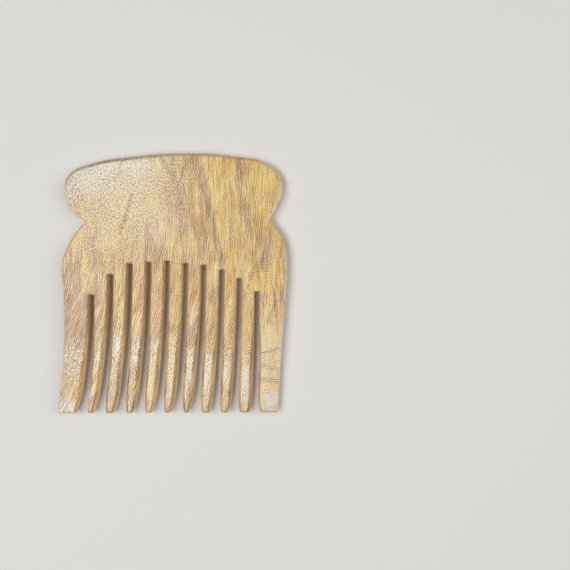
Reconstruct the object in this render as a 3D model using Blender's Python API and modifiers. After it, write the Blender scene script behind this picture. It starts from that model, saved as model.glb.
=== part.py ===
"""A carved wooden kanga comb, sawn and shaped from one board of hardwood.

Metres, +Z up. The comb lies on its back face at z = 0 with its front face up, its tines
towards -Y and its head towards +Y. The origin is under the middle of its box.

The steps follow the maker's: saw the outline, saw the slots, thin the tines towards
their tips, and round every edge, most of all along the tines.
"""

import math

import bmesh
import bpy

# The board
COMB_WIDTH = 0.1236
COMB_HEIGHT = 0.140
BOARD_THICKNESS = 0.008

# The outline: a body with a finger notch on each side, and a head with round lobes
NOTCH_HEIGHT = 0.1034
NOTCH_DEPTH_LEFT = 0.0151
NOTCH_DEPTH_RIGHT = 0.0097
# Across: of half the width, from the middle. Up: of the notch height, from the tips.
BODY_LEFT_SHARES = (
    (-1.000, 0.000),
    (-0.991, 0.070),
    (-0.945, 0.387),
    (-0.950, 0.638),
    (-0.962, 0.774),
    (-0.907, 0.870),
    (-0.814, 0.959),
)
BODY_RIGHT_SHARES = (
    (0.958, 0.909),
    (0.992, 0.803),
    (0.974, 0.551),
    (0.941, 0.290),
    (0.914, 0.006),
)
APEX_LEFT_SHARE = 0.992
APEX_RIGHT_SHARE = 1.008
# Across: of half the width, from the middle. Up: of the head's height, from the notches.
HEAD_SHARES = (
    (-0.884, 0.167),
    (-0.945, 0.440),
    (-0.897, 0.699),
    (-0.728, 0.836),
    (-0.323, 0.954),
    (0.130, 1.000),
    (0.534, 0.954),
    (0.809, 0.858),
    (0.932, 0.672),
    (0.948, 0.385),
)
OUTLINE_STEPS = 6

# The slots, from left to right, whose roots make a low arch
GUARD_WIDTH_LEFT = 0.0170
GUARD_WIDTH_RIGHT = 0.0152
SLOT_LENGTH = 0.082
SLOT_WIDTH = 0.0027
SLOT_SPREAD = 0.0013
SLOT_CORNER = 0.0006
SLOT_SWEEP = 0.0064
SLOT_LENGTH_SHARES = (0.776, 0.911, 0.981, 0.991, 1.000, 0.984, 0.973, 0.941, 0.885, 0.800)
SLOT_SWEEP_SHARES = (0.90, 1.00, 0.87, 0.84, 0.78, 0.74, 0.73, 0.55, 0.48, 0.22)
SLOT_FLARE_SHARES = (0.80, 0.85, 1.00, 1.00, 1.05, 1.15, 1.25, 0.95, 0.95, 0.80)
CROWDING_SHARE = 0.05
SWEEP_POWER_LEFT = 2.1
SWEEP_POWER_RIGHT = 1.5
CORNER_STEPS = 3

# The tines
TIP_TAPER_LENGTH = 0.0125
TIP_TAPER = 0.0015
TAPER_POWER = 1.6
THINNING_LENGTH = 0.052
THINNING_POWER = 1.4
TIP_THICKNESS = 0.0046
ROW_COUNT = 18
ROW_POWER = 1.4
ROW_LIMIT_SHARE = 0.72

# The rounding of the edges
HEAD_ROUND = 0.0020
SIDE_ROUND = 0.0011
ROOT_ROUND = 0.0008
TINE_ROUND = 0.0016
TIP_ROUND = 0.0005
ROUND_STEPS = 3

# Cutting and merging
OVERRUN = 0.003
MERGE = 0.000001

HALF_WIDTH = COMB_WIDTH / 2
HALF_THICKNESS = BOARD_THICKNESS / 2
HEAD_HEIGHT = COMB_HEIGHT - NOTCH_HEIGHT


def clear_scene():
    for old in list(bpy.data.objects):
        bpy.data.objects.remove(old, do_unlink=True)


def new_collection(name):
    collection = bpy.data.collections.new(name)
    bpy.context.scene.collection.children.link(collection)
    return collection


def ease(share):
    """A share held to 0..1, with a soft start and a soft end."""
    held = min(max(share, 0), 1)
    return held * held * (3 - 2 * held)


# Slots and tines


class Slot:
    """One saw cut between two tines. Heights are measured up from the tips."""

    def __init__(self, root_x, across, length_share, sweep_share, flare_share):
        self.root_x = root_x
        self.power = SWEEP_POWER_LEFT + (SWEEP_POWER_RIGHT - SWEEP_POWER_LEFT) * across
        self.length = SLOT_LENGTH * length_share
        self.sweep = SLOT_SWEEP * sweep_share
        self.spread = SLOT_SPREAD * sweep_share
        self.flare = TIP_TAPER * flare_share

    def centre(self, height):
        depth = max(1 - max(height, 0) / self.length, 0)
        return self.root_x - self.sweep * depth**self.power

    def half_width(self, height):
        depth = max(1 - max(height, 0) / self.length, 0)
        near_tip = max(1 - max(height, 0) / TIP_TAPER_LENGTH, 0)
        return SLOT_WIDTH / 2 + self.spread / 2 * depth**2 + self.flare * near_tip**TAPER_POWER

    def holds(self, x, height):
        """Whether this point lies in the slot or on its wall."""
        inside = abs(x - self.centre(height)) < self.half_width(height) + SLOT_CORNER / 2
        return inside and height < self.length + SLOT_CORNER / 2

    def outline(self):
        """The cut's outline, anticlockwise, from below the tips up one wall and down the other."""
        corner = min(SLOT_CORNER, SLOT_WIDTH / 2)
        heights = [h for h in wall_heights() if h < self.length - 2 * corner]
        right = [(self.centre(h) + self.half_width(h), h) for h in heights]
        left = [(self.centre(h) - self.half_width(h), h) for h in reversed(heights)]
        root = []
        reach = self.half_width(self.length) - corner
        for side, start in ((1, 0), (-1, math.pi / 2)):
            for step in range(CORNER_STEPS + 1):
                turn = start + math.pi / 2 * step / CORNER_STEPS
                x = self.root_x + side * reach + corner * math.cos(turn)
                root.append((x, self.length - corner + corner * math.sin(turn)))
        below = [(left[-1][0], -OVERRUN), (right[0][0], -OVERRUN)]
        return right + root + left + below


def row_height(row):
    return SLOT_LENGTH * (row / ROW_COUNT) ** ROW_POWER


def wall_heights():
    """Where a slot's wall has points: close together at the tips, wider apart at the root."""
    return [row_height(row) for row in range(ROW_COUNT)]


def make_slots():
    first = -HALF_WIDTH + GUARD_WIDTH_LEFT + SLOT_WIDTH / 2
    last = HALF_WIDTH - GUARD_WIDTH_RIGHT - SLOT_WIDTH / 2
    gaps = len(SLOT_LENGTH_SHARES) - 1
    slots = []
    for index, shares in enumerate(zip(SLOT_LENGTH_SHARES, SLOT_SWEEP_SHARES, SLOT_FLARE_SHARES)):
        across = index / gaps
        across += CROWDING_SHARE * across * (1 - across)
        slots.append(Slot(first + (last - first) * across, across, *shares))
    return slots


# The blank


def is_flat(face):
    """Whether the face belongs to the front or the back, not to a wall."""
    return abs(face.normal.z) > 0.5


def mesh_from_curve(curve_object, name):
    """The curve's solid as a mesh, with its caps welded to its sides and each cap one face."""
    graph = bpy.context.evaluated_depsgraph_get()
    mesh = bpy.data.meshes.new_from_object(curve_object.evaluated_get(graph))
    mesh.name = name
    shape = bmesh.new()
    shape.from_mesh(mesh)
    bmesh.ops.remove_doubles(shape, verts=shape.verts, dist=MERGE)
    bmesh.ops.recalc_face_normals(shape, faces=shape.faces)
    across_caps = [edge for edge in shape.edges if all(is_flat(face) for face in edge.link_faces)]
    bmesh.ops.dissolve_edges(shape, edges=across_caps, use_verts=False)
    shape.to_mesh(mesh)
    shape.free()
    return mesh


def flat_curve(name, half_depth):
    curve = bpy.data.curves.new(name, "CURVE")
    curve.dimensions = "2D"
    curve.fill_mode = "BOTH"
    curve.extrude = half_depth
    curve.resolution_u = OUTLINE_STEPS
    return curve


def outline_knots():
    """The comb's outline as (x, height, whether it is a corner), clockwise from the left tip."""
    knots = []
    for index, (across, up) in enumerate(BODY_LEFT_SHARES):
        knots.append((HALF_WIDTH * across, NOTCH_HEIGHT * up, index == 0))
    knots.append((-HALF_WIDTH + NOTCH_DEPTH_LEFT, NOTCH_HEIGHT * APEX_LEFT_SHARE, True))
    for across, up in HEAD_SHARES:
        knots.append((HALF_WIDTH * across, NOTCH_HEIGHT + HEAD_HEIGHT * up, False))
    knots.append((HALF_WIDTH - NOTCH_DEPTH_RIGHT, NOTCH_HEIGHT * APEX_RIGHT_SHARE, True))
    last = len(BODY_RIGHT_SHARES) - 1
    for index, (across, up) in enumerate(BODY_RIGHT_SHARES):
        knots.append((HALF_WIDTH * across, NOTCH_HEIGHT * up, index == last))
    return knots


def make_blank(collection):
    curve = flat_curve("outline", HALF_THICKNESS)
    knots = outline_knots()
    spline = curve.splines.new("BEZIER")
    spline.use_cyclic_u = True
    spline.bezier_points.add(len(knots) - 1)
    for point, (x, height, corner) in zip(spline.bezier_points, knots):
        point.co = (x, height, 0)
        point.handle_left_type = "VECTOR" if corner else "AUTO"
        point.handle_right_type = "VECTOR" if corner else "AUTO"
    guide = bpy.data.objects.new("outline", curve)
    collection.objects.link(guide)
    bpy.context.view_layer.update()
    blank = bpy.data.objects.new("comb", mesh_from_curve(guide, "comb"))
    bpy.data.objects.remove(guide, do_unlink=True)
    collection.objects.link(blank)
    return blank


def score_rows(blank):
    """Level lines across the tines, where the later thinning bends the faces."""
    shape = bmesh.new()
    shape.from_mesh(blank.data)
    for row in range(1, ROW_COUNT):
        height = row_height(row)
        if height > SLOT_LENGTH * ROW_LIMIT_SHARE:
            break
        everything = shape.verts[:] + shape.edges[:] + shape.faces[:]
        bmesh.ops.bisect_plane(
            shape, geom=everything, dist=MERGE, plane_co=(0, height, 0), plane_no=(0, 1, 0)
        )
    shape.to_mesh(blank.data)
    shape.free()


# Sawing and shaping


def make_slot_cutter(slots, collection):
    curve = flat_curve("slot_saw", HALF_THICKNESS + OVERRUN)
    for slot in slots:
        points = slot.outline()
        spline = curve.splines.new("POLY")
        spline.use_cyclic_u = True
        spline.points.add(len(points) - 1)
        for point, (x, height) in zip(spline.points, points):
            point.co = (x, height, 0, 1)
    guide = bpy.data.objects.new("slot_guide", curve)
    collection.objects.link(guide)
    bpy.context.view_layer.update()
    cutter = bpy.data.objects.new("slot_saw", mesh_from_curve(guide, "slot_saw"))
    bpy.data.objects.remove(guide, do_unlink=True)
    collection.objects.link(cutter)
    cutter.hide_render = True
    cutter.display_type = "WIRE"
    return cutter


def saw_slots(blank, cutter):
    cut = blank.modifiers.new("slots", "BOOLEAN")
    cut.operation = "DIFFERENCE"
    cut.solver = "EXACT"
    cut.object = cutter
    bpy.context.view_layer.update()
    graph = bpy.context.evaluated_depsgraph_get()
    sawn = bpy.data.meshes.new_from_object(blank.evaluated_get(graph))
    blank.modifiers.remove(cut)
    old = blank.data
    blank.data = sawn
    bpy.data.meshes.remove(old)
    sawn.name = "comb"


def thickness_at(height):
    """The board keeps its thickness down to the thinning, then curves in towards the tips."""
    down = max(1 - max(height, 0) / THINNING_LENGTH, 0)
    return BOARD_THICKNESS - (BOARD_THICKNESS - TIP_THICKNESS) * down**THINNING_POWER


def thin_tines(comb):
    for vertex in comb.data.vertices:
        vertex.co.z *= thickness_at(vertex.co.y) / BOARD_THICKNESS


def edge_round(edge, slots):
    """How far this edge is rounded: 0 where the surface only bends."""
    faces = edge.link_faces
    if len(faces) != 2:
        return 0
    first, second = faces
    middle = (edge.verts[0].co + edge.verts[1].co) / 2
    flat = [is_flat(face) for face in faces]
    if not any(flat):
        upright = abs(edge.verts[0].co.z - edge.verts[1].co.z) > HALF_THICKNESS / 2
        at_tip = middle.y < TIP_ROUND and first.normal.dot(second.normal) < 0.5
        return TIP_ROUND if upright and at_tip else 0
    if all(flat):
        return 0
    wall = second if flat[0] else first
    if wall.normal.y < -0.9 and middle.y < row_height(1):
        return TIP_ROUND
    for slot in slots:
        if slot.holds(middle.x, middle.y):
            down = (slot.length - middle.y) / slot.length
            return ROOT_ROUND + (TINE_ROUND - ROOT_ROUND) * ease(2 * down)
    up = (middle.y - NOTCH_HEIGHT) / HEAD_HEIGHT
    return SIDE_ROUND + (HEAD_ROUND - SIDE_ROUND) * ease(2 * up)


def round_edges(comb, slots):
    """Each edge carries its own rounding as a bevel weight."""
    widest = max(HEAD_ROUND, SIDE_ROUND, ROOT_ROUND, TINE_ROUND, TIP_ROUND)
    shape = bmesh.new()
    shape.from_mesh(comb.data)
    bmesh.ops.remove_doubles(shape, verts=shape.verts, dist=MERGE)
    bmesh.ops.dissolve_degenerate(shape, edges=shape.edges, dist=MERGE)
    shape.normal_update()
    weights = shape.edges.layers.float.new("bevel_weight_edge")
    for edge in shape.edges:
        edge[weights] = edge_round(edge, slots) / widest
    shape.to_mesh(comb.data)
    shape.free()
    bevel = comb.modifiers.new("rounded edges", "BEVEL")
    bevel.limit_method = "WEIGHT"
    bevel.width = widest
    bevel.segments = ROUND_STEPS
    bevel.use_clamp_overlap = False
    bevel.harden_normals = True
    comb.data.shade_smooth()


def wood():
    material = bpy.data.materials.new("hardwood")
    material.use_nodes = True
    shader = material.node_tree.nodes["Principled BSDF"]
    shader.inputs["Base Color"].default_value = (0.62, 0.46, 0.29, 1)
    shader.inputs["Roughness"].default_value = 0.4
    shader.inputs["Metallic"].default_value = 0
    return material


def centre(comb):
    """Stand the middle of the comb's box over the origin, with its back face at z = 0."""
    xs = [vertex.co.x for vertex in comb.data.vertices]
    ys = [vertex.co.y for vertex in comb.data.vertices]
    comb.location = (-(min(xs) + max(xs)) / 2, -(min(ys) + max(ys)) / 2, HALF_THICKNESS)


def main():
    clear_scene()
    parts = new_collection("kanga_comb")
    cutters = new_collection("cutters")
    slots = make_slots()
    comb = make_blank(parts)
    score_rows(comb)
    saw_slots(comb, make_slot_cutter(slots, cutters))
    thin_tines(comb)
    round_edges(comb, slots)
    comb.data.materials.clear()
    comb.data.materials.append(wood())
    centre(comb)


main()
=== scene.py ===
# %% [markdown]
# # A wide-tooth comb, carved from one board
# The frame holds a comb that was sawn from one piece of hardwood, at its real size, in metres.
# This lesson gives it the surface of the real thing: crisp but worn edges, a face that is not
# quite flat, and wood with fibres, pores, streaks and a polished sheen. Part of that sheen, and
# some shade and highlights on the edges, are painted into the wood's colour.
#
# The comb lies on its back, its front towards +Z, its head towards +Y and its tines towards -Y.

# %% Load the frame
import math

import bmesh
import bpy
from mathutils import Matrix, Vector


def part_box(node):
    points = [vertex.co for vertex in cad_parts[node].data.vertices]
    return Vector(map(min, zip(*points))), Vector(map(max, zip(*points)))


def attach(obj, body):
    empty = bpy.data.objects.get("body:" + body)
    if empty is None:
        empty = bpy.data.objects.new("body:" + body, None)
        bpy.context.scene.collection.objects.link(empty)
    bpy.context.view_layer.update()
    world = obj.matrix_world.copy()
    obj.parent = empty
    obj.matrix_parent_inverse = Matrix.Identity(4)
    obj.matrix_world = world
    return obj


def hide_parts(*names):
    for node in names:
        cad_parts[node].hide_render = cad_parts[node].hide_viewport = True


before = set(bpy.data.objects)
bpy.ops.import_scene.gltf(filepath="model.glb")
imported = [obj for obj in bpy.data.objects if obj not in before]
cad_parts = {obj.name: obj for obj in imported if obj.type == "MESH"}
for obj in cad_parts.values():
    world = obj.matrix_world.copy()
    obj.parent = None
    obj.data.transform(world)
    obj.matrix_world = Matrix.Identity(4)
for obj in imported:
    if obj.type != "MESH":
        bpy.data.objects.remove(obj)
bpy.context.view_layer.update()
low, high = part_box("comb")
print("comb", [round(1000 * side, 1) for side in high - low], "mm")

# %% [markdown]
# ## The camera
# The comb was photographed from straight above, from about a third of a metre, and it lies
# left of the middle of the picture. So near, the right-hand walls of the tines show, because
# the camera stands to the right of nearly all of them. The same numbers also turn a pixel of
# the photograph into a place on the comb's front face, which is how the marks in the wood are
# put where they belong further on.

# %% Camera
PICTURE_SIDE = 570
SENSOR_MM = 36.0
LENS_MM = 38.6
CAMERA_PLACE = Vector((0.0604, -0.0009, 0.3345))
NEAREST_SEEN = 0.01

bpy.ops.object.camera_add(location=CAMERA_PLACE, rotation=(0, 0, 0))
camera = bpy.context.active_object
camera.data.sensor_width = SENSOR_MM
camera.data.lens = LENS_MM
camera.data.clip_start = NEAREST_SEEN
bpy.context.scene.camera = camera

PIXEL = (CAMERA_PLACE.z - high.z) * SENSOR_MM / LENS_MM / PICTURE_SIDE


def on_board(column, row):
    """The point of the comb's front face that a pixel of the photograph shows."""
    across = CAMERA_PLACE.x + (column - PICTURE_SIDE / 2) * PIXEL
    up = CAMERA_PLACE.y - (row - PICTURE_SIDE / 2) * PIXEL
    return Vector((across, up, high.z))


print("one pixel is", round(1000 * PIXEL, 3), "mm on the comb")

# %% [markdown]
# ## Nodes, by name
# Every surface here, from the floor to the wood, is a tree of shader nodes. These helpers keep
# such a tree readable: `put` adds a node with its settings and inputs, and the others are the
# few sums, steps and mixes that come up again and again.

# %% Helpers for node trees


def put(tree, kind, inputs=None, **settings):
    """Adds a shader node. Inputs are sockets to link or values to set."""
    node = tree.nodes.new("ShaderNode" + kind)
    for name, value in settings.items():
        setattr(node, name, value)
    for name, value in (inputs or {}).items():
        if isinstance(value, bpy.types.NodeSocket):
            tree.links.new(value, node.inputs[name])
        else:
            node.inputs[name].default_value = value
    return node


def sum_of(tree, operation, first, second=0.0, clamp=False):
    node = put(tree, "Math", {0: first, 1: second}, operation=operation, use_clamp=clamp)
    return node.outputs[0]


def vector_of(tree, operation, first, second=(0, 0, 0)):
    node = put(tree, "VectorMath", {0: first, 1: second}, operation=operation)
    return node.outputs["Value" if operation in ("LENGTH", "DOT_PRODUCT") else "Vector"]


def fade(tree, value, start, end, low_out=0.0, high_out=1.0):
    """A smooth step from low_out at start to high_out at end."""
    inputs = {"Value": value, "From Min": start, "From Max": end, "To Min": low_out}
    inputs["To Max"] = high_out
    node = put(tree, "MapRange", inputs, interpolation_type="SMOOTHSTEP")
    return node.outputs["Result"]


def mix(tree, mask, first, second, blend="MIX"):
    """The first colour where the mask is 0 and the second where it is 1."""
    node = put(tree, "Mix", {0: mask, 6: first, 7: second}, data_type="RGBA", blend_type=blend)
    return node.outputs[2]


print("helpers: put, sum_of, vector_of, fade and mix")

# %% [markdown]
# ## Floor and light
# A plain pale floor and three soft lamps are enough. The strongest lamp stands at the upper
# left, where the sheen on the real comb comes from, and the widest at the right keeps the
# shadows soft. The world is darker to the wood than to the camera, so the background stays pale
# without washing the colours out. Far from the comb, where the lamps no longer reach, the floor
# takes the world's paleness, so that no dark edge shows.

# %% What the camera sees
PALE = (1.00, 0.99, 0.97, 1)
PALE_SEEN = 0.82


def seen_by_camera(tree):
    """1 for the rays that the camera sees, straight or in a gloss or a glass."""
    rays = put(tree, "LightPath").outputs
    seen = sum_of(tree, "MAXIMUM", rays["Is Camera Ray"], rays["Is Glossy Ray"])
    return sum_of(tree, "MAXIMUM", seen, rays["Is Transmission Ray"])


print("the background is seen at", PALE_SEEN)

# %% Floor
FLOOR_SIDE = 12.0
FLOOR_GAP = 0.0001
FLOOR_COLOUR = (0.80, 0.79, 0.77, 1)
FLOOR_LIT = 0.26
FLOOR_FAR = 0.90
FLOOR_ROUGHNESS = 0.9
FLOOR_GLOSS = 0.0
BLACK = (0.0, 0.0, 0.0, 1)


def deselect_all():
    if bpy.context.object and bpy.context.object.mode != "OBJECT":
        bpy.ops.object.mode_set(mode="OBJECT")
    bpy.ops.object.select_all(action="DESELECT")


deselect_all()
bpy.ops.mesh.primitive_plane_add(size=FLOOR_SIDE, location=(0, 0, -FLOOR_GAP))
floor = bpy.context.active_object
floor.name = "floor"
paint = bpy.data.materials.new("pale_floor")
paint.use_nodes = True
tree = paint.node_tree
paint_inputs = tree.nodes["Principled BSDF"].inputs
far = vector_of(tree, "LENGTH", put(tree, "TexCoord").outputs["Object"])
far = fade(tree, far, FLOOR_LIT, FLOOR_FAR)
glow = sum_of(tree, "MULTIPLY", far, seen_by_camera(tree))
tree.links.new(mix(tree, far, FLOOR_COLOUR, BLACK), paint_inputs["Base Color"])
tree.links.new(sum_of(tree, "MULTIPLY", glow, PALE_SEEN), paint_inputs["Emission Strength"])
paint_inputs["Emission Color"].default_value = PALE
paint_inputs["Roughness"].default_value = FLOOR_ROUGHNESS
paint_inputs["Specular IOR Level"].default_value = FLOOR_GLOSS
floor.data.materials.append(paint)
print("floor:", FLOOR_SIDE, "m wide,", 1000 * FLOOR_GAP, "mm under the comb")

# %% Lamps
LAMPS = {
    "window": ((-0.50, 0.12, 1.05), 0.52, 4.8),
    "low window": ((-0.22, -0.34, 1.00), 0.42, 3.0),
    "fill": ((0.75, 0.10, 0.80), 0.90, 4.3),
}

for name, (place, width, watts) in LAMPS.items():
    deselect_all()
    aim = Vector(place).to_track_quat("Z", "Y").to_euler()
    bpy.ops.object.light_add(type="AREA", location=place, rotation=aim)
    lamp = bpy.context.active_object
    lamp.name = name
    lamp.data.size = width
    lamp.data.energy = watts
print("lamps:", ", ".join(LAMPS))

# %% World
WORLD_LIGHT = 0.16

world = bpy.data.worlds.new("studio")
world.use_nodes = True
bpy.context.scene.world = world
tree = world.node_tree
sky = tree.nodes["Background"].inputs
sky["Color"].default_value = PALE
inputs = {"Value": seen_by_camera(tree), "To Min": WORLD_LIGHT, "To Max": PALE_SEEN}
tree.links.new(put(tree, "MapRange", inputs).outputs["Result"], sky["Strength"])
bpy.context.scene.view_settings.view_transform = "Standard"
print("world: lights at", WORLD_LIGHT, "and is seen at", PALE_SEEN)

# %% [markdown]
# ## The blank
# A maker traces the outline on a board and saws it out. Here the tracing is already in the
# frame: a copy of the CAD comb, cut level through its middle, leaves exactly the sawn outline,
# with all its slots, as one closed line. Filled and pulled up to the board's thickness, it is
# the blank again, but with clean faces that can take a finer rounding than the CAD's.

# %% Outline from the frame
MERGE = 0.000001
MIDDLE = (low.z + high.z) / 2
BOARD = high.z - low.z
STRAIGHT = math.radians(0.3)

comb = bpy.data.objects.new("comb_wood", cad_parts["comb"].data.copy())
comb.data.name = "comb_wood"
bpy.context.scene.collection.objects.link(comb)


def edit_all(piece):
    """Selects only this piece and opens it with all of it selected."""
    deselect_all()
    piece.select_set(True)
    bpy.context.view_layer.objects.active = piece
    bpy.ops.object.mode_set(mode="EDIT")
    bpy.ops.mesh.select_all(action="SELECT")


edit_all(comb)
bpy.ops.mesh.customdata_custom_splitnormals_clear()
bpy.ops.mesh.remove_doubles(threshold=MERGE)
bpy.ops.mesh.bisect(
    plane_co=(0, 0, MIDDLE), plane_no=(0, 0, 1), clear_inner=True, clear_outer=True
)
bpy.ops.mesh.select_all(action="SELECT")
bpy.ops.mesh.edge_face_add()
bpy.ops.mesh.dissolve_limited(angle_limit=STRAIGHT)
bpy.ops.object.mode_set(mode="OBJECT")
print("outline points:", len(comb.data.vertices), "faces:", len(comb.data.polygons))

# %% [markdown]
# ## Level lines
# Seen from the side, the tines keep the board's thickness at their roots and curve in towards
# the tips. To let their long faces bend, the lower half is first cut across by level lines.
# Each line gives the outline a point on both sides of every tine, and these points are all that
# is kept there: a rounding that grows along an edge stays smooth only where a line holds it.
# Above the lines the outline's long edges are halved instead, to give the head such points too.

# %% Cut the lower half across
ROW_GAP = 0.0015
ROW_REACH = 0.054

rows = round(ROW_REACH / ROW_GAP)
rows_end = low.y + ROW_REACH - ROW_GAP / 2
edit_all(comb)
for row in range(1, rows + 1):
    bpy.ops.mesh.select_all(action="SELECT")
    bpy.ops.mesh.bisect(plane_co=(0, low.y + row * ROW_GAP, 0), plane_no=(0, 1, 0))
print("level lines:", rows)

# %% Spare points, and the corners of the tips
TIP_ZONE = low.y + 0.002
TIP_LEAST = 0.001
ACROSS_RATIO = 5
CORNER_ANGLE = math.radians(30)


def lies_across(edge):
    way = edge.verts[0].co - edge.verts[1].co
    return abs(way.x) > max(TIP_LEAST, ACROSS_RATIO * abs(way.y))


def is_spare(point):
    """A point of the outline that no level line holds, and that is not a corner."""
    if not TIP_ZONE < point.co.y < rows_end or len(point.link_edges) != 2:
        return False
    ways = [edge.other_vert(point).co - point.co for edge in point.link_edges]
    return ways[0].angle(-ways[1]) < CORNER_ANGLE


def square_corner(corner, tip_edge):
    """Puts a tip's corner where its side line meets the tip. Returns the points in between."""
    path, edge = [corner], tip_edge
    while len(path[-1].link_edges) == 2:
        edge = next(other for other in path[-1].link_edges if other != edge)
        path.append(edge.other_vert(path[-1]))
    held = path[-1]
    onward = next(other for other in held.link_edges if other != edge and other.is_boundary)
    way = held.co - onward.other_vert(held).co
    corner.co.x = held.co.x + way.x / way.y * (corner.co.y - held.co.y)
    return path[1:-1]


print("a turn of over", round(math.degrees(CORNER_ANGLE)), "degrees counts as a corner")

# %% Take out the points between the lines
bpy.ops.mesh.select_mode(type="VERT")
bpy.ops.mesh.select_all(action="DESELECT")
shape = bmesh.from_edit_mesh(comb.data)
spare = [point for point in shape.verts if is_spare(point)]
for edge in shape.edges:
    middle = (edge.verts[0].co + edge.verts[1].co) / 2
    if edge.is_boundary and middle.y < TIP_ZONE - ROW_GAP / 2 and lies_across(edge):
        for corner in edge.verts:
            spare += square_corner(corner, edge)
for point in spare:
    point.select_set(True)
print("points taken out:", len(set(spare)))
bmesh.update_edit_mesh(comb.data)
bpy.ops.mesh.dissolve_verts()

# %% Halve the long edges above the lines
LONGEST = 0.0018
HALVINGS = 2

bpy.ops.mesh.select_mode(type="EDGE")
for _ in range(HALVINGS):
    shape = bmesh.from_edit_mesh(comb.data)
    for edge in shape.edges:
        above = min(point.co.y for point in edge.verts) > rows_end
        edge.select_set(above and edge.is_boundary and edge.calc_length() > LONGEST)
    bmesh.update_edit_mesh(comb.data)
    bpy.ops.mesh.subdivide(number_cuts=1)
bpy.ops.mesh.select_mode(type="VERT")
bpy.ops.object.mode_set(mode="OBJECT")
print("points:", len(comb.data.vertices))

# %% [markdown]
# ## The blank, and its tines thinned
# The flat shape is pulled up to the board's thickness. Every point is then drawn towards the
# middle of the board by how near the tips it is, as the CAD does it.

# %% Thickness
THINNING_LENGTH = 0.052
THINNING_POWER = 1.4
TIP_THICKNESS = 0.0046

edit_all(comb)
bpy.ops.transform.translate(value=(0, 0, low.z - MIDDLE))
bpy.ops.mesh.extrude_region_move(TRANSFORM_OT_translate={"value": (0, 0, BOARD)})
bpy.ops.mesh.select_all(action="SELECT")
bpy.ops.mesh.normals_make_consistent(inside=False)


def thickness_at(y):
    down = max(1 - (y - low.y) / THINNING_LENGTH, 0)
    return BOARD - (BOARD - TIP_THICKNESS) * min(down, 1) ** THINNING_POWER


shape = bmesh.from_edit_mesh(comb.data)
for point in shape.verts:
    point.co.z = MIDDLE + (point.co.z - MIDDLE) * thickness_at(point.co.y) / BOARD
bmesh.update_edit_mesh(comb.data)
bpy.ops.object.mode_set(mode="OBJECT")
print("blank:", len(comb.data.vertices), "points,", len(comb.data.polygons), "faces")

# %% [markdown]
# ## Rounded edges
# The maker rubs every edge down, and does not do it evenly: the head is rounded most, the slot
# roots least, and each tine is chamfered more on its right than on its left. A Bevel modifier
# takes a width for each edge from that edge's bevel weight, so one modifier can round the whole
# comb in one unbroken band. The weights are given by place: an edge belongs to a slot if it is
# joined to that slot's walls, and to the outline if not.

# %% Kinds of faces
TEETH_SHARE = 0.89
SLOT_TOP = 0.014
FLAT_FACE = 0.5
TIP_FACE = -0.9

shape = bmesh.new()
shape.from_mesh(comb.data)
shape.normal_update()


def is_flat(face):
    return abs(face.normal.z) > FLAT_FACE


def is_tip(face):
    return face.normal.y < TIP_FACE and face.calc_center_median().y < TIP_ZONE


def is_slot_wall(face):
    middle = face.calc_center_median()
    between = abs(middle.x) < TEETH_SHARE * high.x and middle.y < SLOT_TOP
    return between and not is_flat(face) and not is_tip(face)


print("wall faces in the slots:", sum(is_slot_wall(face) for face in shape.faces))

# %% Which walls belong to which slot


def slots_of(shape):
    """For each wall face of a slot, the y of that slot's root."""
    roots = {}
    for start in shape.faces:
        if start in roots or not is_slot_wall(start):
            continue
        found, waiting = {start}, [start]
        while waiting:
            face = waiting.pop()
            for edge in face.edges:
                for other in edge.link_faces:
                    if other not in found and is_slot_wall(other):
                        found.add(other)
                        waiting.append(other)
        root = max(corner.co.y for face in found for corner in face.verts)
        roots.update({face: root for face in found})
    return roots


slot_root = slots_of(shape)
print("slots:", len(set(round(root, 5) for root in slot_root.values())))

# %% Widths of the roundings
HEAD_ROUND = 0.0023
LOBE_ROUND = 0.0017
SIDE_ROUND = 0.0011
ROOT_ROUND = 0.0008
TINE_ROUND_RIGHT = 0.0023
TINE_ROUND_LEFT = 0.0017
TIP_SHARE = 0.54
TIP_REACH = 0.010
GROW_FROM = -0.017
GROW_TO = -0.040
LOBE_FROM = 0.046
LOBE_TO = 0.064
TIP_ROUND = 0.0007
NOTCH_Y = 0.0334
NOTCH_REACH = 0.008
print("rounded by", 1000 * TIP_ROUND, "mm at the tips and", 1000 * HEAD_ROUND, "mm on the head")

# %% How widely each edge is rounded


def ease(share):
    held = min(max(share, 0), 1)
    return held * held * (3 - 2 * held)


def edge_round(edge):
    first, second = edge.link_faces
    flat = [is_flat(first), is_flat(second)]
    middle = (edge.verts[0].co + edge.verts[1].co) / 2
    if all(flat):
        return 0
    if not any(flat):
        return TIP_ROUND if is_tip(first) != is_tip(second) else 0
    wall = second if flat[0] else first
    if wall in slot_root:
        full = TINE_ROUND_RIGHT if wall.normal.x > 0 else TINE_ROUND_LEFT
        near_tip = TIP_SHARE + (1 - TIP_SHARE) * ease((middle.y - low.y) / TIP_REACH)
        grown = ease((middle.y - GROW_FROM) / (GROW_TO - GROW_FROM))
        return ROOT_ROUND + (full * near_tip - ROOT_ROUND) * grown
    if is_tip(wall):
        return TIP_ROUND
    if middle.y < NOTCH_Y - NOTCH_REACH:
        return SIDE_ROUND
    if middle.y < NOTCH_Y + NOTCH_REACH and wall.normal.y > 0:
        return SIDE_ROUND
    up = (middle.y - LOBE_FROM) / (LOBE_TO - LOBE_FROM)
    return LOBE_ROUND + (HEAD_ROUND - LOBE_ROUND) * ease(up)


weight = shape.edges.layers.float.new("bevel_weight_edge")
for edge in shape.edges:
    edge[weight] = edge_round(edge) / HEAD_ROUND
print("edges to round:", sum(edge[weight] > 0 for edge in shape.edges))

# %% Round the edges
ROUND_STEPS = 6
ROUND_PROFILE = 0.34

shape.to_mesh(comb.data)
shape.free()

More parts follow.
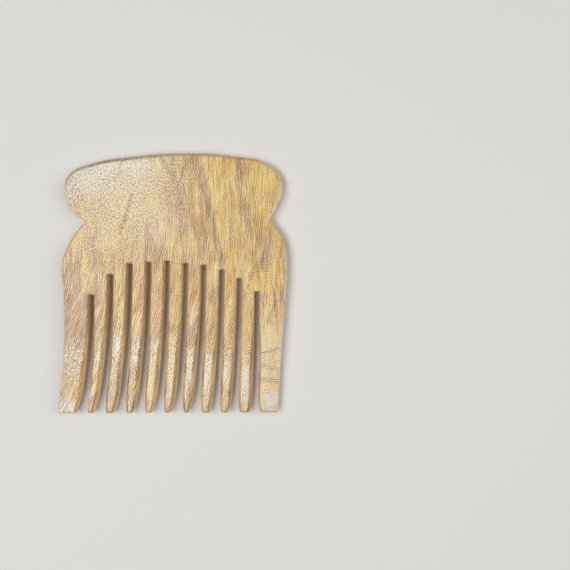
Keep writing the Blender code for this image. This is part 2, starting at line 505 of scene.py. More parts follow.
deselect_all()
comb.select_set(True)
bpy.context.view_layer.objects.active = comb
rounding = comb.modifiers.new("rounding", "BEVEL")
rounding.limit_method = "WEIGHT"
rounding.width = HEAD_ROUND
rounding.segments = ROUND_STEPS
rounding.profile = ROUND_PROFILE
rounding.use_clamp_overlap = False
bpy.ops.object.modifier_apply(modifier=rounding.name)
print("rounded:", len(comb.data.polygons), "faces")

# %% [markdown]
# ## A face that is not quite flat
# A board that was scraped and sanded by hand is flat to the touch but not to the light. The
# wide faces are divided into small ones, and a Displace modifier with a slow cloud texture
# moves them by about a tenth of a millimetre each way, enough to break up the sheen.

# %% Divide the wide faces
CELL = 0.0025
FLAT_NORMAL = 0.9999
GRID_FROM = low.y + ROW_REACH

edit_all(comb)
shape = bmesh.from_edit_mesh(comb.data)
shape.normal_update()


def select_wide_faces():
    shape = bmesh.from_edit_mesh(comb.data)
    for face in shape.faces:
        face.select_set(abs(face.normal.z) > FLAT_NORMAL and face.calc_area() > CELL * CELL)
    bmesh.update_edit_mesh(comb.data)


bpy.ops.mesh.select_mode(type="FACE")
for step in range(1, int((high.y - GRID_FROM) / CELL)):
    select_wide_faces()
    bpy.ops.mesh.bisect(plane_co=(0, GRID_FROM + step * CELL, 0), plane_no=(0, 1, 0))
for step in range(1, int((high.x - low.x) / CELL)):
    select_wide_faces()
    bpy.ops.mesh.bisect(plane_co=(low.x + step * CELL, 0, 0), plane_no=(1, 0, 0))
bpy.ops.object.mode_set(mode="OBJECT")
print("divided:", len(comb.data.polygons), "faces")

# %% Hand-made unevenness
UNEVEN_SPACING = 0.022
UNEVEN_DEPTH = 0.00022

slow_clouds = bpy.data.textures.new("slow_clouds", "CLOUDS")
slow_clouds.noise_scale = UNEVEN_SPACING
slow_clouds.noise_depth = 1
uneven = comb.modifiers.new("uneven", "DISPLACE")
uneven.texture = slow_clouds
uneven.texture_coords = "LOCAL"
uneven.strength = UNEVEN_DEPTH
uneven.mid_level = 0.5
bpy.ops.object.modifier_apply(modifier=uneven.name)
print("unevenness:", 1000 * UNEVEN_DEPTH, "mm in all")

# %% Smooth shading
bpy.ops.object.shade_smooth()
shading = comb.modifiers.new("shading", "WEIGHTED_NORMAL")
shading.keep_sharp = True
bpy.ops.object.modifier_apply(modifier=shading.name)
triangles = sum(len(face.vertices) - 2 for face in comb.data.polygons)
print("comb_wood:", triangles, "triangles")

# %% [markdown]
# ## Which way the surface faces
# On the real comb a flat face, a cut edge and a sawn wall differ in colour, partly in the wood
# and partly in how the light falls on them, and both are painted here. Place alone can't tell a
# material which of them it is on, so every corner of the mesh carries the way it faces, as an
# attribute that the wood reads further on.

# %% Which way the surface faces
STRAIGHT_UP = 0.99

facing = comb.data.attributes.new("facing", "FLOAT_VECTOR", "CORNER")
for corner, normal in zip(facing.data, comb.data.corner_normals):
    corner.vector = normal.vector
level_corners = sum(corner.vector.z > STRAIGHT_UP for corner in facing.data)
print("corners that face straight up:", level_corners, "of", len(facing.data))

# %% [markdown]
# ## Groups for the wood
# A node group is a small tree with a name, which is used many times with other values. Wood
# needs one above all: fibres, which are a noise squeezed across the board and drawn out along
# it. With other widths and lengths it gives broad bands, thin threads and short pores alike.

# %% Helpers for groups


def new_group(name, inputs, outputs):
    """An empty node group. Inputs are (name, kind, default), outputs are (name, kind)."""
    tree = bpy.data.node_groups.new(name, "ShaderNodeTree")
    for label, kind, default in inputs:
        socket = tree.interface.new_socket(label, in_out="INPUT", socket_type="NodeSocket" + kind)
        socket.default_value = default
    for label, kind in outputs:
        tree.interface.new_socket(label, in_out="OUTPUT", socket_type="NodeSocket" + kind)
    return tree, tree.nodes.new("NodeGroupInput").outputs, tree.nodes.new("NodeGroupOutput").inputs


def use(tree, group, inputs):
    """Places a node group in a tree and returns its outputs."""
    node = tree.nodes.new("ShaderNodeGroup")
    node.node_tree = group
    for name, value in inputs.items():
        if isinstance(value, bpy.types.NodeSocket):
            tree.links.new(value, node.inputs[name])
        else:
            node.inputs[name].default_value = value
    return node.outputs


print("helpers: new_group and use")

# %% Group: fibres
fibres, given, made = new_group(
    "fibres",
    [
        ("Vector", "Vector", (0, 0, 0)),
        ("Width", "Float", 0.0005),
        ("Length", "Float", 0.006),
        ("Detail", "Float", 1.0),
    ],
    [("Value", "Float")],
)
tree = fibres
narrow = sum_of(tree, "DIVIDE", 0.5, given["Width"])
drawn = sum_of(tree, "DIVIDE", 0.5, given["Length"])
stretch = put(tree, "CombineXYZ", {"X": narrow, "Y": drawn, "Z": narrow}).outputs[0]
place = vector_of(tree, "MULTIPLY", given["Vector"], stretch)
noise = put(tree, "TexNoise", {"Vector": place, "Scale": 1.0, "Detail": given["Detail"]})
tree.links.new(noise.outputs["Fac"], made["Value"])
print("group", fibres.name + ":", len(fibres.nodes), "nodes")

# %% [markdown]
# ## Marks that sit in one place
# Some marks on the comb can be pointed at: a grey vein, a dark streak, a pale patch. A vein is
# drawn as a soft line between two points, which wavers with a noise and thins towards its
# ends. A patch is a soft oval. Both work in the plane of the board and so run through it.

# %% Group: vein
MID_GREY = (0.5, 0.5, 0.5)
IN_PLANE = (1, 1, 0)
VEIN_STIR = 95.0
VEIN_END = 0.4
VEIN_EDGE = (1.2, 0.3)

vein, given, made = new_group(
    "vein",
    [
        ("Vector", "Vector", (0, 0, 0)),
        ("From", "Vector", (0, 0, 0)),
        ("To", "Vector", (0, 0, 0)),
        ("Width", "Float", 0.002),
        ("Waver", "Float", 0.003),
    ],
    [("Mask", "Float")],
)
tree = vein
stir = put(tree, "TexNoise", {"Vector": given["Vector"], "Scale": VEIN_STIR, "Detail": 3.0})
stir = vector_of(tree, "SUBTRACT", stir.outputs["Color"], MID_GREY)
reach = put(tree, "CombineXYZ", {"X": given["Waver"], "Y": given["Waver"]}).outputs[0]
point = vector_of(tree, "ADD", given["Vector"], vector_of(tree, "MULTIPLY", stir, reach))
along = vector_of(tree, "SUBTRACT", given["To"], given["From"])
along = vector_of(tree, "MULTIPLY", along, IN_PLANE)
start = vector_of(tree, "SUBTRACT", point, given["From"])
start = vector_of(tree, "MULTIPLY", start, IN_PLANE)
print("veins waver at a scale of", VEIN_STIR)

# %% How far a point is from the vein
share = sum_of(
    tree,
    "DIVIDE",
    vector_of(tree, "DOT_PRODUCT", start, along),
    vector_of(tree, "DOT_PRODUCT", along, along),
    clamp=True,
)
shares = put(tree, "CombineXYZ", {"X": share, "Y": share}).outputs[0]
nearest = vector_of(tree, "MULTIPLY", along, shares)
distance = vector_of(tree, "LENGTH", vector_of(tree, "SUBTRACT", start, nearest))
ends = sum_of(tree, "MULTIPLY", share, sum_of(tree, "SUBTRACT", 1.0, share))
ends = sum_of(tree, "POWER", sum_of(tree, "MULTIPLY", ends, 4.0), 0.5)
inputs = {0: ends, 1: 1 - VEIN_END, 2: VEIN_END}
ends = put(tree, "Math", inputs, operation="MULTIPLY_ADD").outputs[0]
half = sum_of(tree, "MULTIPLY", given["Width"], ends)
distance = sum_of(tree, "DIVIDE", distance, half)
tree.links.new(fade(tree, distance, *VEIN_EDGE), made["Mask"])
print("group", vein.name + ":", len(vein.nodes), "nodes")

# %% Group: patch
PATCH_STIR = 60.0
PATCH_WAVER = 0.012
PATCH_EDGE = (1.15, 0.25)

patch, given, made = new_group(
    "patch",
    [
        ("Vector", "Vector", (0, 0, 0)),
        ("Middle", "Vector", (0, 0, 0)),
        ("Reach", "Vector", (0.01, 0.01, 1)),
    ],
    [("Mask", "Float")],
)
tree = patch
stir = put(tree, "TexNoise", {"Vector": given["Vector"], "Scale": PATCH_STIR, "Detail": 2.0})
stir = vector_of(tree, "SUBTRACT", stir.outputs["Color"], MID_GREY)
stir = vector_of(tree, "MULTIPLY", stir, (PATCH_WAVER, PATCH_WAVER, 0))
point = vector_of(tree, "ADD", given["Vector"], stir)
away = vector_of(tree, "SUBTRACT", point, given["Middle"])
away = vector_of(tree, "MULTIPLY", vector_of(tree, "DIVIDE", away, given["Reach"]), IN_PLANE)
tree.links.new(fade(tree, vector_of(tree, "LENGTH", away), *PATCH_EDGE), made["Mask"])
print("group", patch.name + ":", len(patch.nodes), "nodes")

# %% [markdown]
# ## Where the marks are
# Each mark is read off the photograph as two pixels and a width, or as a middle and a reach,
# all in pixels, and `on_board` turns them into metres. The tone is the colour that the wood is
# drawn towards, and the last number is how strongly.

# %% Tones of the marks
CREAM = (0.820, 0.700, 0.500, 1)
MILK = (0.860, 0.830, 0.770, 1)
YELLOW = (0.820, 0.620, 0.220, 1)
TAWNY = (0.640, 0.370, 0.145, 1)
ROSE = (0.560, 0.365, 0.245, 1)
ROSE_DEEP = (0.470, 0.290, 0.175, 1)
PINK = (0.600, 0.500, 0.470, 1)
PALE_GREY = (0.720, 0.680, 0.650, 1)
COOL_GREY = (0.560, 0.570, 0.590, 1)
MAUVE = (0.370, 0.235, 0.165, 1)
GREY = (0.240, 0.190, 0.155, 1)
AMBER = (0.360, 0.175, 0.045, 1)
UMBER = (0.250, 0.135, 0.055, 1)
print("most marks are", MAUVE[:3], "or", CREAM[:3])

# %% Veins
VEINS = {
    "upper vein": ((160, 156), (178, 184), 7, MAUVE, 0.50),
    "upper vein, lower part": ((178, 182), (183, 232), 6, MAUVE, 0.55),
    "branch": ((186, 158), (180, 182), 4.5, GREY, 0.75),
    "broad vein": ((193, 155), (209, 208), 12, MAUVE, 0.60),
    "broad vein, lower part": ((207, 200), (223, 270), 9, MAUVE, 0.65),
    "middle vein": ((184, 186), (200, 250), 5, MAUVE, 0.45),
    "dark streak": ((240, 157), (238, 180), 5, GREY, 0.75),
    "dark streak, lower part": ((238, 174), (246, 214), 11, MAUVE, 0.45),
    "right vein": ((247, 205), (251, 240), 8, MAUVE, 0.45),
    "right slant": ((264, 250), (248, 280), 7, MAUVE, 0.45),
    "left slant": ((132, 193), (120, 234), 7, MAUVE, 0.60),
    "shoulder vein": ((149, 222), (146, 266), 9, MAUVE, 0.50),
    "left body vein": ((94, 246), (98, 304), 6, MAUVE, 0.60),
    "left edge vein": ((82, 248), (78, 284), 6, MAUVE, 0.60),
    "left edge vein, lower part": ((77, 282), (65, 312), 6, MAUVE, 0.60),
    "gold beside it": ((86, 256), (83, 292), 8, YELLOW, 0.75),
    "gold beside it, lower part": ((82, 290), (72, 318), 5, YELLOW, 0.60),
    "amber streak": ((80, 300), (67, 322), 3, AMBER, 0.45),
    "amber streak, second": ((85, 304), (70, 332), 3, AMBER, 0.40),
    "third tine line": ((114, 266), (117, 292), 2.5, AMBER, 0.55),
    "gold on the third tine": ((122, 294), (117, 326), 6, YELLOW, 0.60),
    "shoulder mark": ((94, 236), (94, 246), 3, GREY, 0.70),
    "eighth tine mark": ((217, 288), (213, 306), 7, MAUVE, 0.95),
    "seventh tine smudge": ((198, 316), (188, 346), 8, MAUVE, 0.90),
    "guard smudge": ((276, 299), (268, 324), 5, GREY, 0.55),
    "fourth tine mark": ((142, 358), (128, 380), 7, MAUVE, 0.45),
    "seventh tine mark": ((190, 388), (188, 404), 6, MAUVE, 0.50),
    "left guard streak": ((86, 316), (80, 345), 5, MAUVE, 0.50),
    "guard ripple, first": ((259, 354), (284, 348), 5, MAUVE, 0.50),
    "guard ripple, second": ((259, 365), (282, 371), 7, MAUVE, 0.40),
    "guard ripple, third": ((258, 379), (284, 382), 8, MAUVE, 0.40),
    "scratch": ((84, 252), (97, 247), 1.3, MILK, 0.45),
    "scribed line": ((166, 262), (187, 265), 1.4, UMBER, 0.45),
}
print("veins, streaks and scratches:", len(VEINS))

# %% Patches
PATCHES = {
    # These three are partly the wood's paler colour and partly a painted sheen on the upper left
    # of the head.
    "pale head, partly painted sheen": ((118, 176), (74, 44), CREAM, 0.70),
    "milky upper left, partly painted sheen": ((88, 174), (40, 28), PALE_GREY, 0.60),
    "milky top, partly painted sheen": ((122, 162), (52, 16), MILK, 0.50),
    # Painted shade along the lobe's top-left edge, which turns away from the light.
    "painted shade on the lobe": ((66, 180), (7, 15), ROSE_DEEP, 0.60),
    "painted shade on the lobe, upper part": ((76, 169), (12, 5), ROSE_DEEP, 0.45),
    "cool lobe": ((71, 194), (7, 10), COOL_GREY, 0.60),
    # A painted cool highlight at the top left of the head.
    "painted cool highlight, top left": ((84, 174), (16, 8), COOL_GREY, 0.50),
    "amber slot end": ((107, 269), (9, 7), TAWNY, 0.70),
    "pale shoulder": ((135, 222), (56, 34), CREAM, 0.45),
    "rosy left": ((86, 262), (30, 30), ROSE, 0.45),
    "tawny roots": ((158, 298), (96, 44), TAWNY, 0.75),
    "yellow upper right": ((266, 184), (30, 42), YELLOW, 0.45),
    "yellow lower right": ((270, 284), (24, 20), YELLOW, 0.45),
    "rosy left guard": ((72, 312), (30, 62), ROSE_DEEP, 0.90),
    # These two are partly the wood's colour and partly a painted sheen on the lower left guard.
    "pale left guard, partly painted sheen": ((70, 358), (20, 22), PINK, 0.50),
    "milky guard end, partly painted sheen": ((64, 406), (16, 12), MILK, 0.70),
    # Partly the wood's colour and partly a painted sheen on the tines.
    "pale tines, partly painted sheen": ((165, 374), (120, 42), CREAM, 0.68),
    "yellow shoulder": ((127, 226), (18, 34), YELLOW, 0.40),
    # Painted highlights on the tines' flats, where the tines start to curve towards their tips.
    "painted highlight, second tine": ((101, 354), (8, 18), MILK, 0.60),
    "painted highlight, third tine": ((119, 350), (8, 18), MILK, 0.95),
    "painted highlight, fourth tine": ((137, 352), (7, 16), MILK, 0.85),
    "painted highlight, fifth tine": ((154, 350), (7, 16), MILK, 0.70),
    # Partly the wood's colour and partly a painted sheen on the right-hand tines.
    "milky right tines, partly painted sheen": ((212, 372), (50, 24), MILK, 0.52),
    "yellow right guard": ((268, 343), (18, 14), YELLOW, 0.55),
    # Partly the wood's colour and partly a painted sheen on the lower right guard.
    "pale right guard, partly painted sheen": ((268, 355), (26, 62), CREAM, 0.50),
    "grey tips": ((160, 401), (120, 15), PINK, 0.55),
    # These two are partly the wood's colour and partly a painted sheen on the tenth tine and the
    # right guard's end.
    "milky tenth tine, partly painted sheen": ((246, 388), (10, 28), MILK, 0.60),
    "milky right guard, partly painted sheen": ((270, 402), (24, 18), PALE_GREY, 0.75),
}
print("patches:", len(PATCHES))

# %% [markdown]
# ## The wood
# The layers go from wide to narrow: the board's own change from tan to honey, its soft bands,
# the patches and veins above, the cut edges, then lines, flecks and pores over all of them.
# Every layer reads the place on the board, so the pattern runs through the comb as it does in
# real wood. `tree` is the wood's from here on.

# %% What the wood reads
wood = bpy.data.materials.new("carved_hardwood")
wood.use_nodes = True
tree = wood.node_tree
shader = tree.nodes["Principled BSDF"]
board = put(tree, "TexCoord").outputs["Object"]
side = put(tree, "SeparateXYZ", {0: board}).outputs
facing = put(tree, "Attribute", attribute_name="facing").outputs["Vector"]
facing = put(tree, "SeparateXYZ", {0: facing}).outputs
up = sum_of(tree, "ABSOLUTE", facing["Z"])


def times(first, second):
    return sum_of(tree, "MULTIPLY", first, second)


def centred(noise):
    """A noise moved down by one half, so that it runs to both sides of 0."""
    return sum_of(tree, "SUBTRACT", noise, 0.5)


print("the wood:", wood.name)

# %% [markdown]
# ## The run of the grain
# Fibres follow the way the tree grew. They stand upright in the head, sway a little, and lean
# to the right in the lower part, most of all on the left, where the board was cut beside a
# branch. Shifting every place sideways by that much before a pattern is drawn on it makes the
# pattern follow the same fibres.

# %% Run of the grain
SWAY = 0.0075
SWAY_SCALE = 18.0
SWAY_SQUEEZE = 0.4
RIPPLE = 0.0026
RIPPLE_SCALE = 160.0
RIPPLE_SQUEEZE = 0.7
LEAN = 0.22
LEAN_TO_LEFT = 3.2
LEAN_SOFTLY = 0.03


def swaying(amount, scale, squeeze):
    place = vector_of(tree, "MULTIPLY", board, (1, squeeze, 1))
    cloud = put(tree, "TexNoise", {"Vector": place, "Scale": scale, "Detail": 1.0}).outputs["Fac"]
    return times(centred(cloud), amount)


sway = swaying(SWAY, SWAY_SCALE, SWAY_SQUEEZE)
ripple = swaying(RIPPLE, RIPPLE_SCALE, RIPPLE_SQUEEZE)
inputs = {0: side["Y"], 1: 0.0, 2: LEAN_SOFTLY}
below = put(tree, "Math", inputs, operation="SMOOTH_MIN").outputs[0]
to_left = sum_of(tree, "SUBTRACT", LEAN, times(side["X"], LEAN_TO_LEFT))
across = sum_of(tree, "ADD", side["X"], sum_of(tree, "ADD", sway, ripple))
across = sum_of(tree, "SUBTRACT", across, times(to_left, below))
grain = put(tree, "CombineXYZ", {"X": across, "Y": side["Y"], "Z": side["Z"]}).outputs[0]
print("the grain leans by", round(LEAN - LEAN_TO_LEFT * low.x, 2), "at the left guard")

# %% Patterns on the grain, and on the board where nothing leans


def pattern(vector, width, length, detail):
    inputs = {"Vector": vector, "Width": width, "Length": length, "Detail": detail}
    return use(tree, fibres, inputs)["Value"]


bands = pattern(grain, width=0.0032, length=0.030, detail=2.0)
stripes = pattern(grain, width=0.0012, length=0.012, detail=2.0)
threads = pattern(grain, width=0.00030, length=0.0045, detail=2.0)
dashes = pattern(grain, width=0.00022, length=0.0013, detail=0.0)
flecks = pattern(board, width=0.00040, length=0.00050, detail=2.0)
hue = pattern(board, width=0.0012, length=0.0018, detail=1.0)
clouds = pattern(grain, width=0.0055, length=0.0080, detail=2.0)
print("patterns:", sum(node.type == "GROUP" for node in tree.nodes))

# %% [markdown]
# ## Which way the fine lines run
# A Gabor texture draws lines of one spacing along any direction, and that direction may change
# from place to place. It is a slant here, in degrees from upright, more at the left guard than
# elsewhere. On the right-hand tines a ripple in the wood crosses the fibres, first slantwise,
# then level, and above the last slot the lines bend in rings. In the flecked places they have
# no direction and break up.

# %% Where the lines break up into flecks
FLECKED = (
    ((108, 190), (92, 68), 1.0),
    ((70, 364), (22, 30), 1.0),
    ((164, 362), (124, 28), 0.65),
    ((106, 246), (52, 34), 0.55),
    ((160, 190), (60, 50), 0.50),
)


def marked(middle, reach):
    """A patch given as a middle and a reach in pixels of the photograph."""
    size = (reach[0] * PIXEL, reach[1] * PIXEL, 1)
    return use(tree, patch, {"Vector": board, "Middle": on_board(*middle), "Reach": size})["Mask"]


flecked = 0.0
for middle, reach, amount in FLECKED:
    flecked = sum_of(tree, "MAXIMUM", flecked, times(marked(middle, reach), amount))
print("flecked places:", len(FLECKED))

# %% The slant of the lines
SLANT = (0.060, -0.060, 2.0, 26.0)
SLANT_BELOW = (0.020, -0.015)
RIPPLED = ((232, 316), (34, 34))
RIPPLED_SLANT = 45.0
CROSSED = ((266, 368), (40, 58))
CROSSED_SLANT = 84.0
RINGED = ((268, 276), (26, 17))
RING_MIDDLE = (270, 298)
WANDER_SCALE = 110.0
WANDER = (-0.052, -0.040, 22.0, 50.0)


def blend(first, second, mask):
    """A value that is the first where the mask is 0 and the second where it is 1."""
    return put(tree, "Mix", {0: mask, 2: first, 3: second}, data_type="FLOAT").outputs[0]


slant = times(fade(tree, side["X"], *SLANT), fade(tree, side["Y"], *SLANT_BELOW))
slant = blend(slant, RIPPLED_SLANT, marked(*RIPPLED))
crossed = marked(*CROSSED)
slant = blend(slant, CROSSED_SLANT, crossed)
ring_middle = on_board(*RING_MIDDLE)
ring_right = sum_of(tree, "SUBTRACT", side["X"], ring_middle.x)
ring_up = sum_of(tree, "SUBTRACT", side["Y"], ring_middle.y)
around = times(sum_of(tree, "ARCTAN2", ring_up, ring_right), math.degrees(1))
slant = blend(slant, around, marked(*RINGED))
wander = put(tree, "TexNoise", {"Vector": board, "Scale": WANDER_SCALE, "Detail": 1.0})
wander = times(centred(wander.outputs["Fac"]), fade(tree, side["X"], *WANDER))
slant = sum_of(tree, "ADD", slant, wander)
print("the lines lean by", SLANT[3], "degrees at the left guard")

# %% Fine lines
LINE_SPACING = 0.00115
CELL_LINES = 2.0
THROUGH = 0.3
LINE_ORDER = (0.0, 0.8, 0.86, 0.15)

through = sum_of(tree, "ADD", side["X"], times(side["Z"], THROUGH))
inputs = {
    "Vector": put(tree, "CombineXYZ", {"X": through, "Y": side["Y"]}).outputs[0],
    "Scale": 1 / (LINE_SPACING * CELL_LINES),
    "Frequency": CELL_LINES,
    "Anisotropy": fade(tree, flecked, *LINE_ORDER),
    "Orientation 2D": times(slant, -math.radians(1)),
}
lines = put(tree, "TexGabor", inputs, gabor_type="2D").outputs["Value"]
print("line spacing:", 1000 * LINE_SPACING, "mm")

# %% [markdown]
# ## Colour, from wide to narrow
# The board is tan at the left and honey at the right. Brown and yellow bands lie along the
# grain, fainter where the face is flecked, and thin stripes join them at the lower left. The
# patches and veins then draw the wood towards their own tones.

# %% Bands and stripes
TAN = (0.600, 0.374, 0.168, 1)
HONEY = (0.690, 0.400, 0.106, 1)
BROWN = (0.450, 0.270, 0.140, 1)
TAN_TO_HONEY = (-0.020, 0.045)
BAND_SHARE = 0.60
STRIPE_SHARE = (-0.035, -0.075, 0.35, 0.75)
FLECKED_SHARE = 0.2
DARK_BAND = (0.51, 0.32)
LIGHT_BAND = (0.50, 0.69)

colour = mix(tree, fade(tree, side["X"], *TAN_TO_HONEY), TAN, HONEY)
lower_left = sum_of(tree, "ADD", side["X"], side["Y"])
for noise, amount in ((bands, BAND_SHARE), (stripes, fade(tree, lower_left, *STRIPE_SHARE))):
    amount = times(amount, blend(1.0, FLECKED_SHARE, flecked))
    colour = mix(tree, times(fade(tree, noise, *DARK_BAND), amount), colour, BROWN)
    colour = mix(tree, times(fade(tree, noise, *LIGHT_BAND), amount), colour, YELLOW)
print("bands and stripes between", BROWN[:3], "and", YELLOW[:3])

# %% Patches and clouds
CLOUD_DARK = (0.480, 0.345, 0.255, 1)
CLOUD_LIGHT = (0.830, 0.680, 0.340, 1)
DARK_CLOUDS = (0.48, 0.32, 0.0, 0.35)
LIGHT_CLOUDS = (0.52, 0.68, 0.0, 0.40)
OFF_GUARD = (-0.054, -0.046, 0.25, 1.0)

# Some patches are painted light: sheen on the head, tines and guards, highlights on the tines and
# shade on the lobe's edge.
for middle, reach, tone, amount in PATCHES.values():
    colour = mix(tree, times(marked(middle, reach), amount), colour, tone)
off_guard = fade(tree, side["X"], *OFF_GUARD)
colour = mix(tree, times(fade(tree, clouds, *DARK_CLOUDS), off_guard), colour, CLOUD_DARK)
colour = mix(tree, times(fade(tree, clouds, *LIGHT_CLOUDS), off_guard), colour, CLOUD_LIGHT)
print("patches laid:", len(PATCHES))

# %% Veins, broken up by the fine lines
FIBROUS = (0.80, 0.30, 0.60, 1.25)
WAVER = 0.0006
WIDEST_WAVER = 6

fibrous = fade(tree, lines, *FIBROUS)
for start_pixel, end_pixel, pixels_wide, tone, amount in VEINS.values():
    inputs = {"Vector": board, "From": on_board(*start_pixel), "To": on_board(*end_pixel)}
    inputs["Width"] = pixels_wide * PIXEL / 2
    inputs["Waver"] = WAVER * min(pixels_wide, WIDEST_WAVER)
    mask = times(use(tree, vein, inputs)["Mask"], amount)
    colour = mix(tree, times(mask, fibrous), colour, tone)
print("veins laid:", len(VEINS))

# %% [markdown]
# ## Cut edges, painted rim highlights and sawn walls
# The bevels are darker in colour, partly as cut wood and partly as painted shade where they turn
# away from the light: brown along the head's top and left, golden down the tines. On the outline's
# two sides the outward bevels carry a painted highlight instead. The walls keep the plain colour
# of sawn wood, painted lighter inside the slots as painted light on their shaded walls.

# %% Cut edges
CUT_AND_SHADE_DARK = (0.41, 0.195, 0.048, 1)
CUT_AND_SHADE_LIGHT = (0.74, 0.460, 0.150, 1)
CUT_AND_SHADE_HEAD = (0.36, 0.200, 0.110, 1)
CUT_STRIPES = (0.38, 0.62)
CHAMFER = (0.975, 0.90)
LOW_DOWN = (-0.012, -0.038)
HEAD_CUT_AND_SHADE = (0.015, -0.035, 0.15, 0.90)
TINE_CUT_AND_SHADE = 0.90
OUTER = (0.0430, 0.0460)
OUTWARD = (0.04, 0.14)
HEADWARD = (0.05, 0.20)
HEADWARD_HIGHLIGHT = 0.25
CUT_UNDER_HIGHLIGHT = 0.12

low_down = fade(tree, side["Y"], *LOW_DOWN)
# The bevels' tone, partly the cut wood's own colour and partly painted shade.
cut_and_shade_tone = mix(tree, fade(tree, stripes, *CUT_STRIPES), CUT_AND_SHADE_DARK, CUT_AND_SHADE_LIGHT)
cut_and_shade_tone = mix(tree, low_down, CUT_AND_SHADE_HEAD, cut_and_shade_tone)
outer = fade(tree, sum_of(tree, "ABSOLUTE", side["X"]), *OUTER)
# A painted highlight on the outward-facing bevels of the outline's two sides, weaker where they
# face the head.
outward_highlight = times(facing["X"], sum_of(tree, "SIGN", side["X"]))
outward_highlight = times(fade(tree, outward_highlight, *OUTWARD), outer)
outward_highlight = times(outward_highlight, blend(1.0, HEADWARD_HIGHLIGHT, fade(tree, facing["Y"], *HEADWARD)))
# How much the bevels are darkened, partly as cut wood and partly as painted shade: most on the
# tines and the head's left, less under the painted edge highlight.
cut = blend(fade(tree, side["X"], *HEAD_CUT_AND_SHADE), TINE_CUT_AND_SHADE, low_down)
cut = times(cut, blend(1.0, CUT_UNDER_HIGHLIGHT, outward_highlight))
colour = mix(tree, times(fade(tree, up, *CHAMFER), cut), colour, cut_and_shade_tone)
print("bevels are cut down to", CUT_AND_SHADE_DARK[:3])

# %% Painted rim highlights and sawn walls
SAWN = (0.720, 0.480, 0.210, 1)
SLOT_WALL_LIT = (0.800, 0.610, 0.360, 1)
RIM_TOP = (0.93, 0.80)
RIM_FOOT = (0.25, 0.45)
RIM_SHARE = 0.55
RIDGE_TOP = (0.998, 0.985)
RIDGE_FOOT = (0.94, 0.97)
RIDGE_SHARE = (0.010, 0.025, 0.10, 0.60)
WALL = (0.40, 0.15)
WALL_SHARE = 0.75

# The pale painted highlight lies on the outer band of those bevels.
rim = times(fade(tree, up, *RIM_TOP), fade(tree, up, *RIM_FOOT))
colour = mix(tree, times(rim, times(outward_highlight, RIM_SHARE)), colour, MILK)
# A thin painted highlight where the flat face meets its bevel, mostly on the upper part.
ridge_highlight = times(fade(tree, up, *RIDGE_TOP), fade(tree, up, *RIDGE_FOOT))
colour = mix(tree, times(ridge_highlight, fade(tree, side["Y"], *RIDGE_SHARE)), colour, CREAM)
# The walls take the sawn colour, painted lighter inside the slots as painted light on their shaded
# walls.
wall = times(fade(tree, up, *WALL), WALL_SHARE)
colour = mix(tree, wall, colour, mix(tree, outer, SLOT_WALL_LIT, SAWN))
print("walls are", SAWN[:3], "outside and", SLOT_WALL_LIT[:3], "in the slots")

# %% [markdown]
# ## Lines, flecks and pores
# The fine pattern is one value that runs to both sides of 0: the Gabor lines, thinner threads
# and the flecks, added up. Its low places darken the wood and its high ones lighten it, and it
# also drives the sheen and the relief, so that a dark pore is dull and sunk as well.

# %% The fine pattern
LINE_GAIN = 3.2
WALL_LINES = 0.15
LINES_BY_UP = (0.30, 0.80)
LINES_BY_BAND = (0.30, 0.70, 1.15, 0.75)
LINES_FLECKED = 1.1
THREAD_GAIN = 3.4
THREADS = (0.0, 0.9, 1.0, 0.20)
FLECK_GAIN = 5.8
FLECKS = (0.0, 1.0, 0.28, 1.0)
FLECKS_BY_CLOUD = (0.35, 0.65, 1.30, 0.75)
FINE_BY_UP = (0.50, 0.97, 0.35, 1.0)

gain = fade(tree, up, *LINES_BY_UP, WALL_LINES * LINE_GAIN, LINE_GAIN)
fine = times(centred(lines), gain)
fine = times(fine, blend(fade(tree, bands, *LINES_BY_BAND), LINES_FLECKED, flecked))
no_threads = sum_of(tree, "MAXIMUM", flecked, crossed)
finer = times(times(centred(threads), THREAD_GAIN), fade(tree, no_threads, *THREADS))
broken = times(times(centred(flecks), FLECK_GAIN), fade(tree, flecked, *FLECKS))
broken = times(broken, fade(tree, clouds, *FLECKS_BY_CLOUD))
fine = sum_of(tree, "ADD", sum_of(tree, "ADD", fine, finer), broken)
fine = times(fine, fade(tree, up, *FINE_BY_UP))
print("gains:", LINE_GAIN, THREAD_GAIN, FLECK_GAIN)

# %% Pores, glints and small changes of hue
PORE = (0.52, 0.36, 0.21, 1)
PORE_PALE = (0.51, 0.44, 0.375, 1)
GLINT = (0.58, 0.46, 0.26, 1)
COOL = (0.96, 0.92, 1.00, 1)
WARM = (1.00, 0.98, 0.78, 1)
LONG_PORES = (0.34, 0.26)
LONG_PORE_SHARE = 0.35
COOL_SPOTS = (0.48, 0.30, 0.0, 0.5)
WARM_SPOTS = (0.52, 0.70, 0.0, 0.8)

pore = mix(tree, flecked, PORE, PORE_PALE)
colour = mix(tree, fade(tree, fine, 0.0, -1.0), colour, pore, "MULTIPLY")
colour = mix(tree, fade(tree, fine, 0.0, 1.0), colour, GLINT, "SCREEN")
long_pores = times(fade(tree, dashes, *LONG_PORES), blend(LONG_PORE_SHARE, 0.0, no_threads))
colour = mix(tree, long_pores, colour, UMBER)
colour = mix(tree, fade(tree, hue, *COOL_SPOTS), colour, COOL, "MULTIPLY")
colour = mix(tree, fade(tree, hue, *WARM_SPOTS), colour, WARM, "MULTIPLY")
print("long pores take", LONG_PORE_SHARE, "of", UMBER[:3])
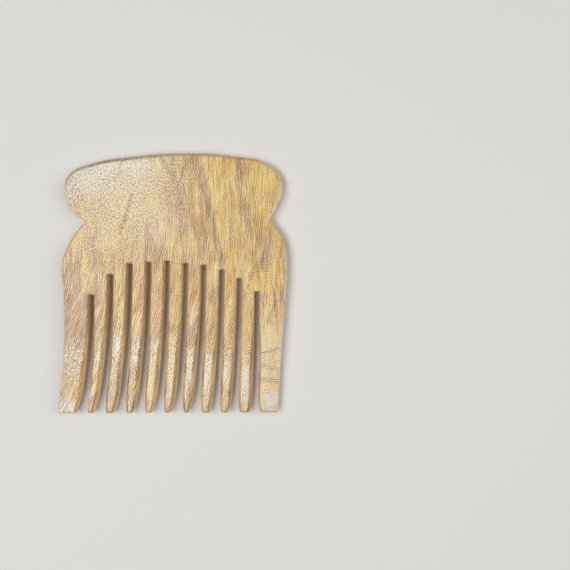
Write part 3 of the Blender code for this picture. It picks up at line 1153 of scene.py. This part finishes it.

# %% [markdown]
# ## Tips and painted bevel highlights
# The tips are drawn towards a reddish brown, but not those of the two guards. All round the comb
# the steeper half of each bevel is painted pale as a highlight, little on the head and more on
# the tines.

# %% Tips and painted bevel highlights
TIP_RED = (0.56, 0.270, 0.110, 1)
TIP_RED_REACH = 0.0035
TIP_RED_FULL = 0.2
TIP_RED_SHARE = 0.65
INNER_TINES = 0.8
BEVEL_TOP = (0.66, 0.52)
BEVEL_FOOT = (0.12, 0.30)
BEVEL_HIGHLIGHT_HEAD = 0.15
BEVEL_HIGHLIGHT_TINES = 0.60

# The last few millimetres of the inner tines are drawn towards a reddish brown.
tip_red_from = low.y + TIP_RED_REACH
tip_red_full = low.y + TIP_RED_FULL * TIP_RED_REACH
tip_red = fade(tree, side["Y"], tip_red_from, tip_red_full, 0.0, TIP_RED_SHARE)
from_middle = sum_of(tree, "ABSOLUTE", side["X"])
inner = fade(tree, from_middle, TEETH_SHARE * high.x, INNER_TINES * high.x)
colour = mix(tree, times(tip_red, inner), colour, TIP_RED)
# A painted highlight on the steeper half of each bevel, weaker on the head than on the tines.
bevel = times(fade(tree, up, *BEVEL_TOP), fade(tree, up, *BEVEL_FOOT))
colour = mix(tree, times(bevel, blend(BEVEL_HIGHLIGHT_HEAD, BEVEL_HIGHLIGHT_TINES, low_down)), colour, MILK)
tree.links.new(colour, shader.inputs["Base Color"])
print("the tips are reddened over", 1000 * TIP_RED_REACH, "mm")

# %% [markdown]
# ## Sheen and relief
# Handling has polished the comb, so a thin clear coat lies over the wood. Under it the fine
# pattern makes the dark pores dull and sinks them a little, and the long pores sink with them.

# %% Sheen and relief
ROUGHNESS = (-0.6, 0.6, 0.50, 0.36)
PORE_DEPTH = 0.5
RELIEF = 0.30
RELIEF_HEIGHT = 0.00006
COAT = 0.20
COAT_ROUGHNESS = 0.28

tree.links.new(fade(tree, fine, *ROUGHNESS), shader.inputs["Roughness"])
sunk = times(fade(tree, dashes, *reversed(LONG_PORES)), PORE_DEPTH)
height = sum_of(tree, "ADD", fine, sunk)
inputs = {"Height": height, "Strength": RELIEF, "Distance": RELIEF_HEIGHT}
tree.links.new(put(tree, "Bump", inputs).outputs["Normal"], shader.inputs["Normal"])
shader.inputs["Coat Weight"].default_value = COAT
shader.inputs["Coat Roughness"].default_value = COAT_ROUGHNESS
print("the wood has", len(tree.nodes), "nodes")

# %% [markdown]
# ## Dress the comb
# The finished piece rides on the comb's only body, and stands for the CAD node, which stays
# for collision.

# %% Dress the comb
comb.data.materials.clear()
comb.data.materials.append(wood)
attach(comb, "root")
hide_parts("comb")
print(comb.name, "stands for the node comb")
